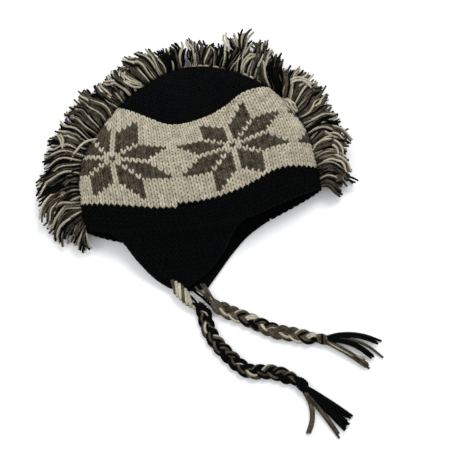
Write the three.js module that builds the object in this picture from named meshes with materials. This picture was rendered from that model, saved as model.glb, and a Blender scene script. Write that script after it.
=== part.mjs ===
// Knitted earflap hat (chullo) with a yarn fringe over its crown, lying on its side.
//
// Frame: millimetres, +Z up. The hat rests on the plane z = 0 on its under wall, with the origin in
// the middle of that flat face. +Y points to the crown and -Y to the head opening, the ear flaps and
// the braided ties. +X runs along the rim.
//
// The hat is one knitted fabric folded flat in two walls. A place on it is (stitch, row): stitches
// count round the hat from the left fold, first over the upper wall to the right fold and then back
// through the under wall, and rows count from the rim to the tip of the crown.

import * as THREE from "three";

// ---- Knitting, in stitches and rows ----
const UPPER_STITCHES = 44; // left fold to right fold over the upper wall
const ALL_STITCHES = 84;
const RIM_TOP_ROW = 6; // the black rim band ends and the star band starts
const BAND_TOP_ROW = 29; // the star band ends and the black crown starts
const CROWN_TIP_ROW = 47;

// ---- Thicknesses and clearances, in mm ----
const WALL = 4.4;
const GAP = 0.4; // between neighbouring pieces
const GAP_IN_ROWS = 0.09;

// ---- Mesh density ----
const COLUMNS = 48; // facets round the hat
const RIM_STEPS = 2;
const BAND_STEPS = 6;
const CROWN_STEPS = 6;

// ---- Key rows of the hat. Each has its plan (x, y) from the left fold to the right fold at even
// steps over the upper wall, how far the under wall's row sags below it in the middle, the height of
// the fold, and the rise of the upper wall over the fold. ----
const KEY_ROWS = [
  {
    row: 0,
    plan: [[-134, -68], [-90, -81], [-45, -89], [0, -92], [44, -88], [88, -76], [133, -64]],
    sag: 6,
    fold: 15,
    rise: 25,
  },
  {
    row: RIM_TOP_ROW,
    plan: [[-136, -38], [-91, -52], [-46, -64], [0, -68], [45, -61], [89, -45], [133, -46]],
    sag: 3,
    fold: 16,
    rise: 33,
  },
  {
    row: 17.5,
    plan: [[-127, 14], [-86, -1], [-44, -13], [-1, -16], [42, -9], [85, 2], [127, 8]],
    sag: 0,
    fold: 18,
    rise: 37,
  },
  {
    row: BAND_TOP_ROW,
    plan: [[-80, 65], [-52, 43], [-24, 25], [4, 24], [34, 32], [65, 50], [98, 59]],
    sag: 0,
    fold: 19,
    rise: 36,
  },
  {
    row: 38,
    plan: [[-37, 91], [-24, 77], [-8, 68], [7, 65], [25, 69], [42, 79], [58, 88]],
    sag: 0,
    fold: 19,
    rise: 26,
  },
];
const CROWN_TIP = new THREE.Vector3(8, 102, 19);
// How the rows' ends arrive at the tip of the crown: along the fold, down from above, up from below.
const TIP_ALONG_FOLD = 6.4; // mm per row
const TIP_FROM_ABOVE = 4.4;
const TIP_FROM_BELOW = 3.2;

const FOLD_ROUNDNESS = 0.1; // packs the stitches closer in plan where the wall stands up at a fold
const UPPER_CROSS_POWER = 3;
const UNDER_CROSS_POWER = 5;
const UNDER_FLATNESS = 1.06; // over 1, so that the middle of the under wall lies flat at z = 0

// ---- Ear flaps, outlined from the rim down to the tip ----
const FLAP_STEPS_ACROSS = 10;
const FLAP_STEPS_DOWN = 7;
const UPPER_FLAP = {
  stitches: [5.5, 29],
  left: [[-95, -90, 25], [-82, -112, 19], [-67, -132, 12], [-52, -145, 10]],
  right: [[29, -96, 30], [13, -116, 22], [-7, -134, 14], [-33, -148, 10]],
};
const UNDER_FLAP = {
  stitches: [77, 55],
  left: [[-77, -96, 0], [-63, -116, 0], [-48, -136, 0], [-33, -150, 0]],
  right: [[42, -100, 0], [20, -118, 0], [3, -135, 0], [-13, -151, 0]],
};

// ---- Fringe over the fold, in tufts from the left rim corner over the crown to the right one ----
const TUFT_LENGTHS = [
  32, 42, 46, 43, 43, 44, 46, 45, 46, 36, 34, 29, 28,
  31, 29, 29, 44, 42, 50, 45, 47, 45, 44, 38, 42, 42,
];
const TUFT_CLEARANCE = 2.2; // from the fold line to the root of a tuft
const TUFT_SIDE_GAP = 0.6;
const TUFT_HALF_THICKNESS = 13; // at its middle
const TUFT_ROOT_SHARE = 0.8; // thickness at the root and the end, as a share of the middle's
const TUFT_END_SHARE = 0.5;
const TUFT_HEIGHT_ROOT = 17; // height of the tuft's middle line
const TUFT_HEIGHT_END = 13.5;
const TUFT_SIDES = 8;
const TUFT_STATIONS = [0, 0.35, 0.75, 1];
const LEFT_LEAN = 0.75; // radians: the first tufts hang down towards the rim, less and less
const RIGHT_LEAN = 0.3;
const LEAN_FADES_OVER = 0.16; // as a share of the fringe
const FOLD_SAMPLES = 30; // of each side of the fold line
const FOLD_DIVISIONS = 600; // for even steps along it

// ---- Braided ties, each on the plane that the hat lies on: the yarn loops that hold it to the tip of
// its flap, the braid, the knot at its end and the loose ends of the yarn past the knot ----
const BRAID_DIAMETER = 12.5;
const BRAID_SIDES = 10;
const BRAID_STEPS = 16;
const FLOOR_GAP = 0.3;
const BRAID_HEIGHT = BRAID_DIAMETER / 2 + FLOOR_GAP;
const KNOT = { length: 13, width: 14, thick: 11, neck: 0.7 }; // neck: its ends, as a share of its middle
const KNOT_BELLY = [0.35, 0.7]; // where its middle starts and ends, as shares of its length
const TASSEL = { rootWidth: 11, thick: 8, endThick: 6, rootMiddle: 5.3, endMiddle: 3.4 };
const TASSEL_STATIONS = [0, 0.35, 0.75, 1];
const TASSEL_OPENS_OVER = 0.75; // the share of its length over which it grows to its full width
const TIES = [
  {
    side: "upper",
    route: [
      [-26, -168], [-21, -178], [-19.5, -193], [-15.5, -207], [-8, -220.5], [1, -233.5], [10, -244.5],
      [18, -250.5], [28.5, -252.5], [41, -255], [50, -259], [61, -266], [66, -270.5],
    ],
    knot: { start: [66.4, -270.9], direction: [0.75, -0.66] },
    tassel: { start: [77.2, -281.9], direction: [0.42, -0.9], length: 56, endWidth: 36 },
    loops: {
      start: [-38, -152.5],
      direction: [0.62, -0.78],
      stations: [
        { at: 0, width: 15, thick: 8, middle: 9.5 },
        { at: 8, width: 15, thick: 9, middle: 8.5 },
        { at: 16, width: 10, thick: 9, middle: 6.8 },
      ],
    },
  },
  {
    side: "under",
    route: [
      [-10, -169], [-1, -177], [10, -184.5], [22, -191.5], [34, -199.5], [45, -207], [55, -213],
      [65, -216.5], [75, -220.5], [87, -225], [97, -228],
    ],
    knot: { start: [97.4, -228.1], direction: [0.95, -0.3] },
    tassel: { start: [111.1, -232.7], direction: [0.88, -0.47], length: 52, endWidth: 30 },
    loops: {
      start: [-19.5, -154],
      direction: [0.6, -0.8],
      stations: [
        { at: 0, width: 10, thick: 6, middle: 3.6 },
        { at: 7, width: 10, thick: 8, middle: 4.6 },
        { at: 14, width: 9, thick: 9, middle: 5.4 },
      ],
    },
  },
];

// ---- Materials ----
const BLACK = { color: 0x121518, roughness: 0.95, metalness: 0 };
const CREAM = { color: 0xc4bca2, roughness: 0.95, metalness: 0 };
const BROWN = { color: 0x5d5247, roughness: 0.95, metalness: 0 };
const MIXED = { color: 0x7d7361, roughness: 0.95, metalness: 0 };

const hat = new THREE.Group();

function addPiece(name, geometry, look) {
  const piece = new THREE.Mesh(geometry, new THREE.MeshStandardMaterial(look));
  piece.name = name;
  hat.add(piece);
}

// ---- The knitted surface ----

function planCurve(points) {
  const corners = points.map(([x, y]) => new THREE.Vector3(x, y, 0));
  return new THREE.CatmullRomCurve3(corners, false, "centripetal");
}

const rowCurves = KEY_ROWS.map((key) => planCurve(key.plan));

// Share of the way across a wall in plan, for a share of its stitches.
function planShare(share) {
  const half = Math.min(share, 1 - share);
  const moved = ((1 + 2 * FOLD_ROUNDNESS) * half * half) / (half + FOLD_ROUNDNESS);
  return share < 0.5 ? moved : 1 - moved;
}

function keyPoint(index, share, upper) {
  const key = KEY_ROWS[index];
  const across = planShare(share);
  const point = rowCurves[index].getPoint(across);
  const offCentre = Math.abs(2 * across - 1);
  if (upper) {
    point.z = key.fold + key.rise * Math.sqrt(1 - offCentre ** UPPER_CROSS_POWER);
  } else {
    const dip = Math.sqrt(1 - offCentre ** UNDER_CROSS_POWER);
    point.z = Math.max(0, key.fold * (1 - UNDER_FLATNESS * dip));
    point.y -= key.sag * (1 - offCentre * offCentre);
  }
  return point;
}

// Direction in which a line of stitches reaches the tip of the crown, in mm per row.
function tipDirection(share, upper) {
  const turn = Math.PI * share;
  const rise = upper ? -TIP_FROM_ABOVE : TIP_FROM_BELOW;
  return new THREE.Vector3(TIP_ALONG_FOLD * Math.cos(turn), 0, rise * Math.sin(turn));
}

// A line of stitches from the rim to the tip: its key points and its slopes there, per row.
function stitchLine(share, upper) {
  const points = KEY_ROWS.map((key, index) => keyPoint(index, share, upper));
  const rows = KEY_ROWS.map((key) => key.row);
  points.push(CROWN_TIP);
  rows.push(CROWN_TIP_ROW);
  const slopes = points.map((point, index) => {
    if (index === points.length - 1) return tipDirection(share, upper);
    const before = Math.max(index - 1, 0);
    const rise = new THREE.Vector3().subVectors(points[index + 1], points[before]);
    return rise.divideScalar(rows[index + 1] - rows[before]);
  });
  return { points, rows, slopes };
}

function alongLine({ points, rows, slopes }, row) {
  let part = 0;
  while (part < rows.length - 2 && row > rows[part + 1]) part += 1;
  const span = rows[part + 1] - rows[part];
  const t = (row - rows[part]) / span;
  const place = new THREE.Vector3();
  place.addScaledVector(points[part], (1 + 2 * t) * (1 - t) ** 2);
  place.addScaledVector(slopes[part], t * (1 - t) ** 2 * span);
  place.addScaledVector(points[part + 1], t * t * (3 - 2 * t));
  place.addScaledVector(slopes[part + 1], t * t * (t - 1) * span);
  place.z = Math.max(place.z, 0);
  return place;
}

function fabric(stitch, row) {
  const turn = ((stitch % ALL_STITCHES) + ALL_STITCHES) % ALL_STITCHES;
  const upper = turn <= UPPER_STITCHES;
  const underShare = (ALL_STITCHES - turn) / (ALL_STITCHES - UPPER_STITCHES);
  return alongLine(stitchLine(upper ? turn / UPPER_STITCHES : underShare, upper), row);
}

// The outward normal, from small steps along the stitch and along the row.
function fabricNormal(stitch, row) {
  if (row > CROWN_TIP_ROW - 0.5) return new THREE.Vector3(0, 1, 0);
  const step = 0.25;
  const round = fabric(stitch + step, row).sub(fabric(stitch - step, row));
  const up = fabric(stitch, row + step).sub(fabric(stitch, Math.max(row - step, 0)));
  return round.cross(up).normalize();
}

// ---- Closed walls from grids of points ----

function closedGeometry(points, triangles) {
  const geometry = new THREE.BufferGeometry();
  const flat = points.flatMap((point) => [point.x, point.y, point.z]);
  geometry.setAttribute("position", new THREE.Float32BufferAttribute(flat, 3));
  geometry.setIndex(triangles);
  geometry.computeVertexNormals();
  return geometry;
}

function quad(triangles, a, b, c, d) {
  triangles.push(a, b, c, a, c, d);
}

// A ring of fabric between two rows, with its inner face one wall thickness inside the outer one.
// Past the last row before the tip, the crown's ring closes in a fan at the tip.
function ringOfFabric(firstRow, lastRow, steps, closesAtTip = false) {
  const points = [];
  const triangles = [];
  const rings = closesAtTip ? steps : steps + 1;
  for (const inward of [0, WALL]) {
    for (let ring = 0; ring < rings; ring += 1) {
      const row = firstRow + ((lastRow - firstRow) * ring) / steps;
      for (let column = 0; column < COLUMNS; column += 1) {
        const stitch = (ALL_STITCHES * column) / COLUMNS;
        const place = fabric(stitch, row);
        points.push(place.addScaledVector(fabricNormal(stitch, row), -inward));
      }
    }
  }
  const inner = rings * COLUMNS;
  for (let column = 0; column < COLUMNS; column += 1) {
    const next = (column + 1) % COLUMNS;
    for (let ring = 0; ring < rings - 1; ring += 1) {
      const low = ring * COLUMNS;
      const high = low + COLUMNS;
      quad(triangles, low + column, low + next, high + next, high + column);
      const [a, b] = [inner + low + next, inner + low + column];
      quad(triangles, a, b, inner + high + column, inner + high + next);
    }
    quad(triangles, column, inner + column, inner + next, next);
    const top = (rings - 1) * COLUMNS;
    if (!closesAtTip) {
      quad(triangles, top + next, inner + top + next, inner + top + column, top + column);
    }
  }
  if (closesAtTip) {
    const tip = points.push(CROWN_TIP.clone()) - 1;
    const innerTip = points.push(CROWN_TIP.clone().add(new THREE.Vector3(0, -WALL, 0))) - 1;
    const top = (rings - 1) * COLUMNS;
    for (let column = 0; column < COLUMNS; column += 1) {
      const next = (column + 1) % COLUMNS;
      triangles.push(top + column, top + next, tip);
      triangles.push(inner + top + next, inner + top + column, innerTip);
    }
  }
  return closedGeometry(points, triangles);
}

// A flap hangs from the rim between two stitches, inside its left and right outlines.
function flapSurface(flap, across, down) {
  const [first, last] = flap.stitches;
  const onRim = fabric(first + (last - first) * across, 0);
  const leftEnd = fabric(first, 0);
  const rightEnd = fabric(last, 0);
  const side = (outline, start) => {
    const corners = [start, ...outline.map(([x, y, z]) => new THREE.Vector3(x, y, z))];
    return new THREE.CatmullRomCurve3(corners, false, "centripetal").getPoint(down);
  };
  const left = side(flap.left, leftEnd);
  const right = side(flap.right, rightEnd);
  const between = left.clone().lerp(right, across);
  const chord = leftEnd.lerp(rightEnd, across);
  const bulge = onRim.sub(chord).multiplyScalar((1 - down) ** 2);
  const place = between.add(bulge);
  place.z = Math.max(place.z, 0);
  return place;
}

// A slab that follows a surface, between two heights above it.
function slabOfFabric(surface, heights) {
  const acrossSteps = FLAP_STEPS_ACROSS;
  const downSteps = FLAP_STEPS_DOWN;
  const points = [];
  const triangles = [];
  const width = acrossSteps + 1;
  for (const height of heights) {
    for (let row = 0; row <= downSteps; row += 1) {
      for (let column = 0; column <= acrossSteps; column += 1) {
        const place = surface(column / acrossSteps, row / downSteps);
        place.z += height;
        if (row === 0) place.y -= GAP;
        points.push(place);
      }
    }
  }
  const upper = width * (downSteps + 1);
  for (let row = 0; row < downSteps; row += 1) {
    for (let column = 0; column < acrossSteps; column += 1) {
      const a = row * width + column;
      quad(triangles, a, a + 1, a + width + 1, a + width);
      quad(triangles, upper + a + 1, upper + a, upper + a + width, upper + a + width + 1);
    }
    const left = row * width;
    const right = left + acrossSteps;
    quad(triangles, left, left + width, upper + left + width, upper + left);
    quad(triangles, right + width, right, upper + right, upper + right + width);
  }
  const foot = downSteps * width;
  for (let column = 0; column < acrossSteps; column += 1) {
    quad(triangles, column + 1, column, upper + column, upper + column + 1);
    const low = foot + column;
    quad(triangles, low, low + 1, upper + low + 1, upper + low);
  }
  return closedGeometry(points, triangles);
}

// A solid skinned over rings of points, with a flat end on each.
function skin(rings) {
  const sides = rings[0].length;
  const points = rings.flat();
  const triangles = [];
  for (let ring = 0; ring < rings.length - 1; ring += 1) {
    for (let side = 0; side < sides; side += 1) {
      const next = (side + 1) % sides;
      const low = ring * sides;
      quad(triangles, low + side, low + next, low + sides + next, low + sides + side);
    }
  }
  const last = (rings.length - 1) * sides;
  for (let side = 1; side < sides - 1; side += 1) {
    triangles.push(0, side + 1, side);
    triangles.push(last, last + side, last + side + 1);
  }
  return closedGeometry(points, triangles);
}

// An oval ring between two points in plan, turning so that a skin along +direction faces out.
function oval(from, to, height, halfThickness, sides) {
  const middle = from.clone().lerp(to, 0.5);
  const half = to.clone().sub(from).multiplyScalar(0.5);
  const ring = [];
  for (let side = 0; side < sides; side += 1) {
    const turn = (2 * Math.PI * (side + 0.5)) / sides;
    const place = middle.clone().addScaledVector(half, Math.cos(turn));
    ring.push(new THREE.Vector3(place.x, place.y, height + halfThickness * Math.sin(turn)));
  }
  return ring;
}

// ---- Fringe ----

// The fold line as points from the left rim corner over the tip to the right rim corner.
function foldLine(samples) {
  const points = [];
  for (let i = 0; i < samples; i += 1) points.push(fabric(0, (CROWN_TIP_ROW * i) / samples));
  for (let i = samples; i >= 0; i -= 1) {
    points.push(fabric(UPPER_STITCHES, (CROWN_TIP_ROW * i) / samples));
  }
  return new THREE.CatmullRomCurve3(points, false, "centripetal");
}

const fold = foldLine(FOLD_SAMPLES);
fold.arcLengthDivisions = FOLD_DIVISIONS;

// Where the border between two tufts starts on the fold, and its outward direction in plan.
function fringeRay(share) {
  const root = fold.getPointAt(share);
  const along = fold.getTangentAt(share);
  const outward = new THREE.Vector3(-along.y, along.x, 0).normalize();
  const fromLeft = Math.max(0, 1 - share / LEAN_FADES_OVER);
  const fromRight = Math.max(0, 1 - (1 - share) / LEAN_FADES_OVER);
  outward.applyAxisAngle(new THREE.Vector3(0, 0, 1), LEFT_LEAN * fromLeft - RIGHT_LEAN * fromRight);
  root.z = 0;
  return { root: root.addScaledVector(outward, TUFT_CLEARANCE), outward };
}

function tuft(index) {
  const left = fringeRay(index / TUFT_LENGTHS.length);
  const right = fringeRay((index + 1) / TUFT_LENGTHS.length);
  const rings = TUFT_STATIONS.map((station) => {
    const out = TUFT_LENGTHS[index] * station;
    const from = left.root.clone().addScaledVector(left.outward, out);
    const to = right.root.clone().addScaledVector(right.outward, out);
    const across = to.clone().sub(from).setLength(TUFT_SIDE_GAP / 2);
    const swell = Math.sin(Math.PI * station);
    const endShare = THREE.MathUtils.lerp(TUFT_ROOT_SHARE, TUFT_END_SHARE, station);
    const thickness = TUFT_HALF_THICKNESS * (endShare + (1 - endShare) * swell);
    const height = THREE.MathUtils.lerp(TUFT_HEIGHT_ROOT, TUFT_HEIGHT_END, station);
    return oval(from.add(across), to.sub(across), height, thickness, TUFT_SIDES);
  });
  return skin(rings.map((ring) => ring.reverse()));
}

// ---- Ties ----

function routeCurve(route) {
  const points = route.map(([x, y]) => new THREE.Vector3(x, y, BRAID_HEIGHT));
  return new THREE.CatmullRomCurve3(points, false, "centripetal");
}

function braid(route) {
  const section = new THREE.Shape();
  for (let side = 0; side < BRAID_SIDES; side += 1) {
    const turn = (2 * Math.PI * side) / BRAID_SIDES;
    const x = (BRAID_DIAMETER / 2) * Math.cos(turn);
    const y = (BRAID_DIAMETER / 2) * Math.sin(turn);
    if (side === 0) section.moveTo(x, y);
    else section.lineTo(x, y);
  }
  section.closePath();
  return new THREE.ExtrudeGeometry(section, { steps: BRAID_STEPS, extrudePath: routeCurve(route) });
}

// A solid along a straight line in plan, oval in section. Each station has its distance along the
// line, its width, its thickness and the height of its middle.
function ovalLoft(start, direction, stations) {
  const forward = new THREE.Vector3(...direction, 0).normalize();
  const leftward = new THREE.Vector3(-forward.y, forward.x, 0);
  const rings = stations.map(({ at, width, thick, middle }) => {
    const centre = new THREE.Vector3(...start, 0).addScaledVector(forward, at);
    const from = centre.clone().addScaledVector(leftward, width / 2);
    const to = centre.clone().addScaledVector(leftward, -width / 2);
    return oval(from, to, middle, thick / 2, BRAID_SIDES).reverse();
  });
  return skin(rings);
}

function knot({ start, direction }) {
  const middle = KNOT.thick / 2 + FLOOR_GAP;
  const neck = { width: KNOT.width * KNOT.neck, thick: KNOT.thick * KNOT.neck, middle };
  const belly = { width: KNOT.width, thick: KNOT.thick, middle };
  return ovalLoft(start, direction, [
    { at: 0, ...neck },
    ...KNOT_BELLY.map((share) => ({ at: KNOT.length * share, ...belly })),
    { at: KNOT.length, ...neck },
  ]);
}

function tassel({ start, direction, length, endWidth }) {
  const between = THREE.MathUtils.lerp;
  const stations = TASSEL_STATIONS.map((share) => ({
    at: length * share,
    width: between(TASSEL.rootWidth, endWidth, Math.min(share / TASSEL_OPENS_OVER, 1)),
    thick: between(TASSEL.thick, TASSEL.endThick, share),
    middle: between(TASSEL.rootMiddle, TASSEL.endMiddle, share),
  }));
  return ovalLoft(start, direction, stations);
}

// ---- The assembly ----

addPiece("rim_band", ringOfFabric(0, RIM_TOP_ROW - GAP_IN_ROWS, RIM_STEPS), BLACK);
addPiece("star_band", ringOfFabric(RIM_TOP_ROW, BAND_TOP_ROW - GAP_IN_ROWS, BAND_STEPS), CREAM);
addPiece("crown", ringOfFabric(BAND_TOP_ROW, CROWN_TIP_ROW, CROWN_STEPS, true), BLACK);

const upperFlap = (across, down) => flapSurface(UPPER_FLAP, across, down);
const underFlap = (across, down) => flapSurface(UNDER_FLAP, across, down);
addPiece("ear_flap_upper", slabOfFabric(upperFlap, [-WALL, 0]), BLACK);
addPiece("ear_flap_under", slabOfFabric(underFlap, [0, WALL]), BLACK);

for (const index of TUFT_LENGTHS.keys()) {
  addPiece(`fringe_tuft_${String(index + 1).padStart(2, "0")}`, tuft(index), MIXED);
}

for (const tie of TIES) {
  const { start, direction, stations } = tie.loops;
  addPiece(`tie_loops_${tie.side}`, ovalLoft(start, direction, stations), CREAM);
  addPiece(`braid_${tie.side}`, braid(tie.route), MIXED);
  addPiece(`knot_${tie.side}`, knot(tie.knot), BROWN);
  addPiece(`tassel_${tie.side}`, tassel(tie.tassel), MIXED);
}

export default hat;
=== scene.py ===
"""The looks of a knitted chullo hat that lies on its side: stitches, fringe and braided ties.

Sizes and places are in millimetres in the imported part's frame, and meshes are made in metres. A place
on the knitting is (stitch, row), as in the part: stitches count round the hat from the left fold over
the upper wall and back through the under wall, and rows count from the rim to the tip of the crown.
"""

import bpy
import numpy as np
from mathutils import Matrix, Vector


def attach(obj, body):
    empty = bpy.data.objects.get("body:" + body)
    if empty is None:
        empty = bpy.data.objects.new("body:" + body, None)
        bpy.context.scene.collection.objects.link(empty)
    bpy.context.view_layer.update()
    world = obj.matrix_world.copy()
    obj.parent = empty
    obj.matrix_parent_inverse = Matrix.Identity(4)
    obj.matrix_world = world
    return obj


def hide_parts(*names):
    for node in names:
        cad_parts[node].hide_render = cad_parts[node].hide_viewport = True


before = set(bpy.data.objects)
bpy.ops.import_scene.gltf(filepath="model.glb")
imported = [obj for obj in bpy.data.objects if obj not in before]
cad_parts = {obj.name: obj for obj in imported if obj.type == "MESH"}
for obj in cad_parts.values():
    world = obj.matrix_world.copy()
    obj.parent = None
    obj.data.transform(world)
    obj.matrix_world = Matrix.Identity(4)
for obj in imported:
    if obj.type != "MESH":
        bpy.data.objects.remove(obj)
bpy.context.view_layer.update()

MM = 0.001
RANDOM = np.random.default_rng(20)
UP = np.array([0.0, 0.0, 1.0])

# ---- Camera: its direction from the hat, its distance and what it looks at ----
CAMERA_AZIMUTH = -10.0
CAMERA_ELEVATION = 76.0
CAMERA_DISTANCE = 1288.0
CAMERA_TARGET = (24.0, -90.0, 0.0)
CAMERA_LENS = 90.0

# ---- Knitting ----
UPPER_TURN = 44 / 84  # share of the stitches of a row that are in the upper wall
COLUMNS_AT_RIM = (-1, 44)  # the columns of stitches at the left and right folds
COLUMNS_AT_CROWN = (7, 40)
RIM_TOP_ROW = 6
BAND_TOP_ROW = 29
CROWN_TIP_ROW = 47
WALL = 4.4
STITCH = 6.3
ROW = 4.6
COLUMN_DRIFT = 2.6  # how late on their way up the band the columns turn in, as a power

# The part's key rows: row, plan from the left fold to the right one, sag of the under wall, height of
# the fold, rise of the upper wall over it.
KEY_ROWS = (
    (0, [(-134, -68), (-90, -81), (-45, -89), (0, -92), (44, -88), (88, -76), (133, -64)], 6, 15, 25),
    (6, [(-136, -38), (-91, -52), (-46, -64), (0, -68), (45, -61), (89, -45), (133, -46)], 3, 16, 33),
    (17.5, [(-127, 14), (-86, -1), (-44, -13), (-1, -16), (42, -9), (85, 2), (127, 8)], 0, 18, 37),
    (29, [(-80, 65), (-52, 43), (-24, 25), (4, 24), (34, 32), (65, 50), (98, 59)], 0, 19, 36),
    (38, [(-37, 91), (-24, 77), (-8, 68), (7, 65), (25, 69), (42, 79), (58, 88)], 0, 19, 26),
)
CROWN_TIP = np.array([8.0, 102.0, 19.0])
# How the rows' ends arrive at the tip, in millimetres a row.
TIP_ALONG_FOLD = 6.4
TIP_FROM_ABOVE = 4.4
TIP_FROM_BELOW = 3.2
FOLD_ROUNDNESS = 0.1  # packs the stitches closer on plan where the wall stands up at a fold
UPPER_CROSS_POWER = 3
UNDER_CROSS_POWER = 5
UNDER_FLATNESS = 1.06  # over 1, so that the middle of the under wall lies flat
EVENING = 0.2  # makes the stitches over a wall about equally wide

# Ear flaps: where they hang, in turns round the rim, and their outlines from the rim down.
UPPER_FLAP = (
    (0.0575, 0.3532),
    [(-95, -90, 25), (-82, -112, 19), (-67, -132, 12), (-52, -145, 10)],
    [(29, -96, 30), (13, -116, 22), (-7, -134, 14), (-33, -148, 10)],
)
UNDER_FLAP = (
    (0.9253, 0.6459),
    [(-77, -96, 0), (-63, -116, 0), (-48, -136, 0), (-33, -150, 0)],
    [(42, -100, 0), (20, -118, 0), (3, -135, 0), (-13, -151, 0)],
)
FLAP_ROWS = 14
FLAP_RIDGES = 24  # purl ridges across a flap's inner face

# The star: stitches and rows from one to the next and from the first column and row to its middle.
STAR_REPEAT = 21
STAR_COLUMN = 7
STAR_ROW = 17
STAR_REACH = 4  # stitches across a petal's tip
PETAL = 5
JOG_COLUMN = 17  # from this column on, the band's first row is still black

# ---- One stitch, from its left foot over its head to its right foot: place across and up in
# stitches and rows, depth of the yarn's middle under the outer face, share of the yarn's radius ----
LEFT_LEG = (
    (-0.05, -0.86, 3.2, 0.80),
    (-0.11, -0.60, 2.4, 0.95),
    (-0.19, -0.30, 1.7, 1.02),
    (-0.27, 0.02, 1.4, 1.06),
    (-0.325, 0.32, 1.55, 1.02),
    (-0.26, 0.56, 2.5, 0.92),
)
HEAD = (0.0, 0.66, 3.2, 0.85)
# The cast-on edge's bead of yarn under a stitch: place across and up, depth.
EDGE_BEAD = (
    (-0.5, 0.10, 2.9),
    (-0.34, -0.10, 1.9),
    (0.0, -0.20, 1.5),
    (0.34, -0.10, 2.0),
    (0.5, 0.1, 3.2),
)
FLAP_BEAD_DEPTHS = (3.0, 2.2, 1.9, 2.2, 3.0)  # along a bead of a flap's edge
YARN_RADIUS = 1.42
YARN_SIDES = 5
BACK_DEPTH = 2.5  # of the closed knitting behind the stitches
FIRST_ROW_BACK_DEPTH = BACK_DEPTH - 0.15  # of the black knitting behind the band's first black row
PURL_DEPTH = WALL + 0.4  # of the grooves of the purl side
PURL_RIDGE = 1.1
LAST_ROW_RISE = 1.7  # lifts the heads of the band's last row over the crown
DECREASE_ROWS = 3  # rows of the crown from one decrease to the next

# ---- Fringe: for each tuft from the left end of the rim over the tip to the right end: its colours
# from one side to the other (k black, c cream, b brown), lean and curl in degrees, length in
# millimetres, and fan in degrees, which is negative where the tuft comes to a point ----
TUFTS = (
    ("kbckb", -10, -24, 24, 18),
    ("cbbckb", 16, -60, 42, 12),
    ("bkkbcbk", 6, -46, 48, 14),
    ("kbkcbbk", -7, -14, 49, 12),
    ("cbkbcbk", -12, -8, 45, 16),
    ("kbbkckb", -14, 4, 46, 14),
    ("bbkbbck", 17, -8, 45, 10),
    ("kbbbbcb", 18, -8, 50, 10),
    ("ckbkbkb", 11, -4, 40, 14),
    ("kcckbbk", -5, 20, 40, 14),
    ("bbcbkbb", -11, -2, 40, 12),
    ("kcbbkbc", -13, -4, 45, 12),
    ("kkbkckk", 15, -14, 31, 16),
    ("ckckbkc", 3, -6, 34, 14),
    ("bbkcbbk", 0, 14, 31, 20),
    ("kkbkcbk", 2, 4, 32, 16),
    ("kcbbckk", -10, 4, 53, -20),
    ("bbcbkbc", -14, 22, 46, 6),
    ("bbcbbbb", -43, 6, 55, -16),
    ("kkkkbkk", -48, 8, 52, -8),
    ("cbkcbbk", -40, 36, 50, 22),
    ("bbcbbkb", -8, 8, 46, 16),
    ("kkckkcb", 0, -4, 42, 14),
    ("bkcbkbb", -20, 40, 40, 12),
    ("bkbkbcb", -10, 40, 40, 12),
    ("bkbcbkb", -8, 6, 26, 16),
)
# The layers of a tuft: inset of the roots, height of the tips, yarns, and half the width that their
# roots take up, in tufts.
TUFT_LAYERS = ((0.3, 3.0, 13, 0.72), (0.4, 9.0, 13, 0.55), (0.9, 17.0, 13, 0.42))
TUFT_INSETS = (0.1, 0.7, 0.8, 0.3, 0.1, 0.1, 0.35, 0.35)  # factors on them, along the fringe
INSET_SHARE = 0.05  # of a wall's width, for an inset of 1
LEAST_INSET = 0.002
TUFT_CLUSTERS = 4  # yarns of a cluster wave and curl together
LOOSE_RADIUS = 1.33
LEFT_LEAN = 0.75  # radians: the first and last tufts hang towards the rim, less and less
RIGHT_LEAN = 0.3
LEAN_FADES_OVER = 0.16  # as a share of the fringe
FOLD_ROWS = 95  # samples of each side of the fold line

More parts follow.
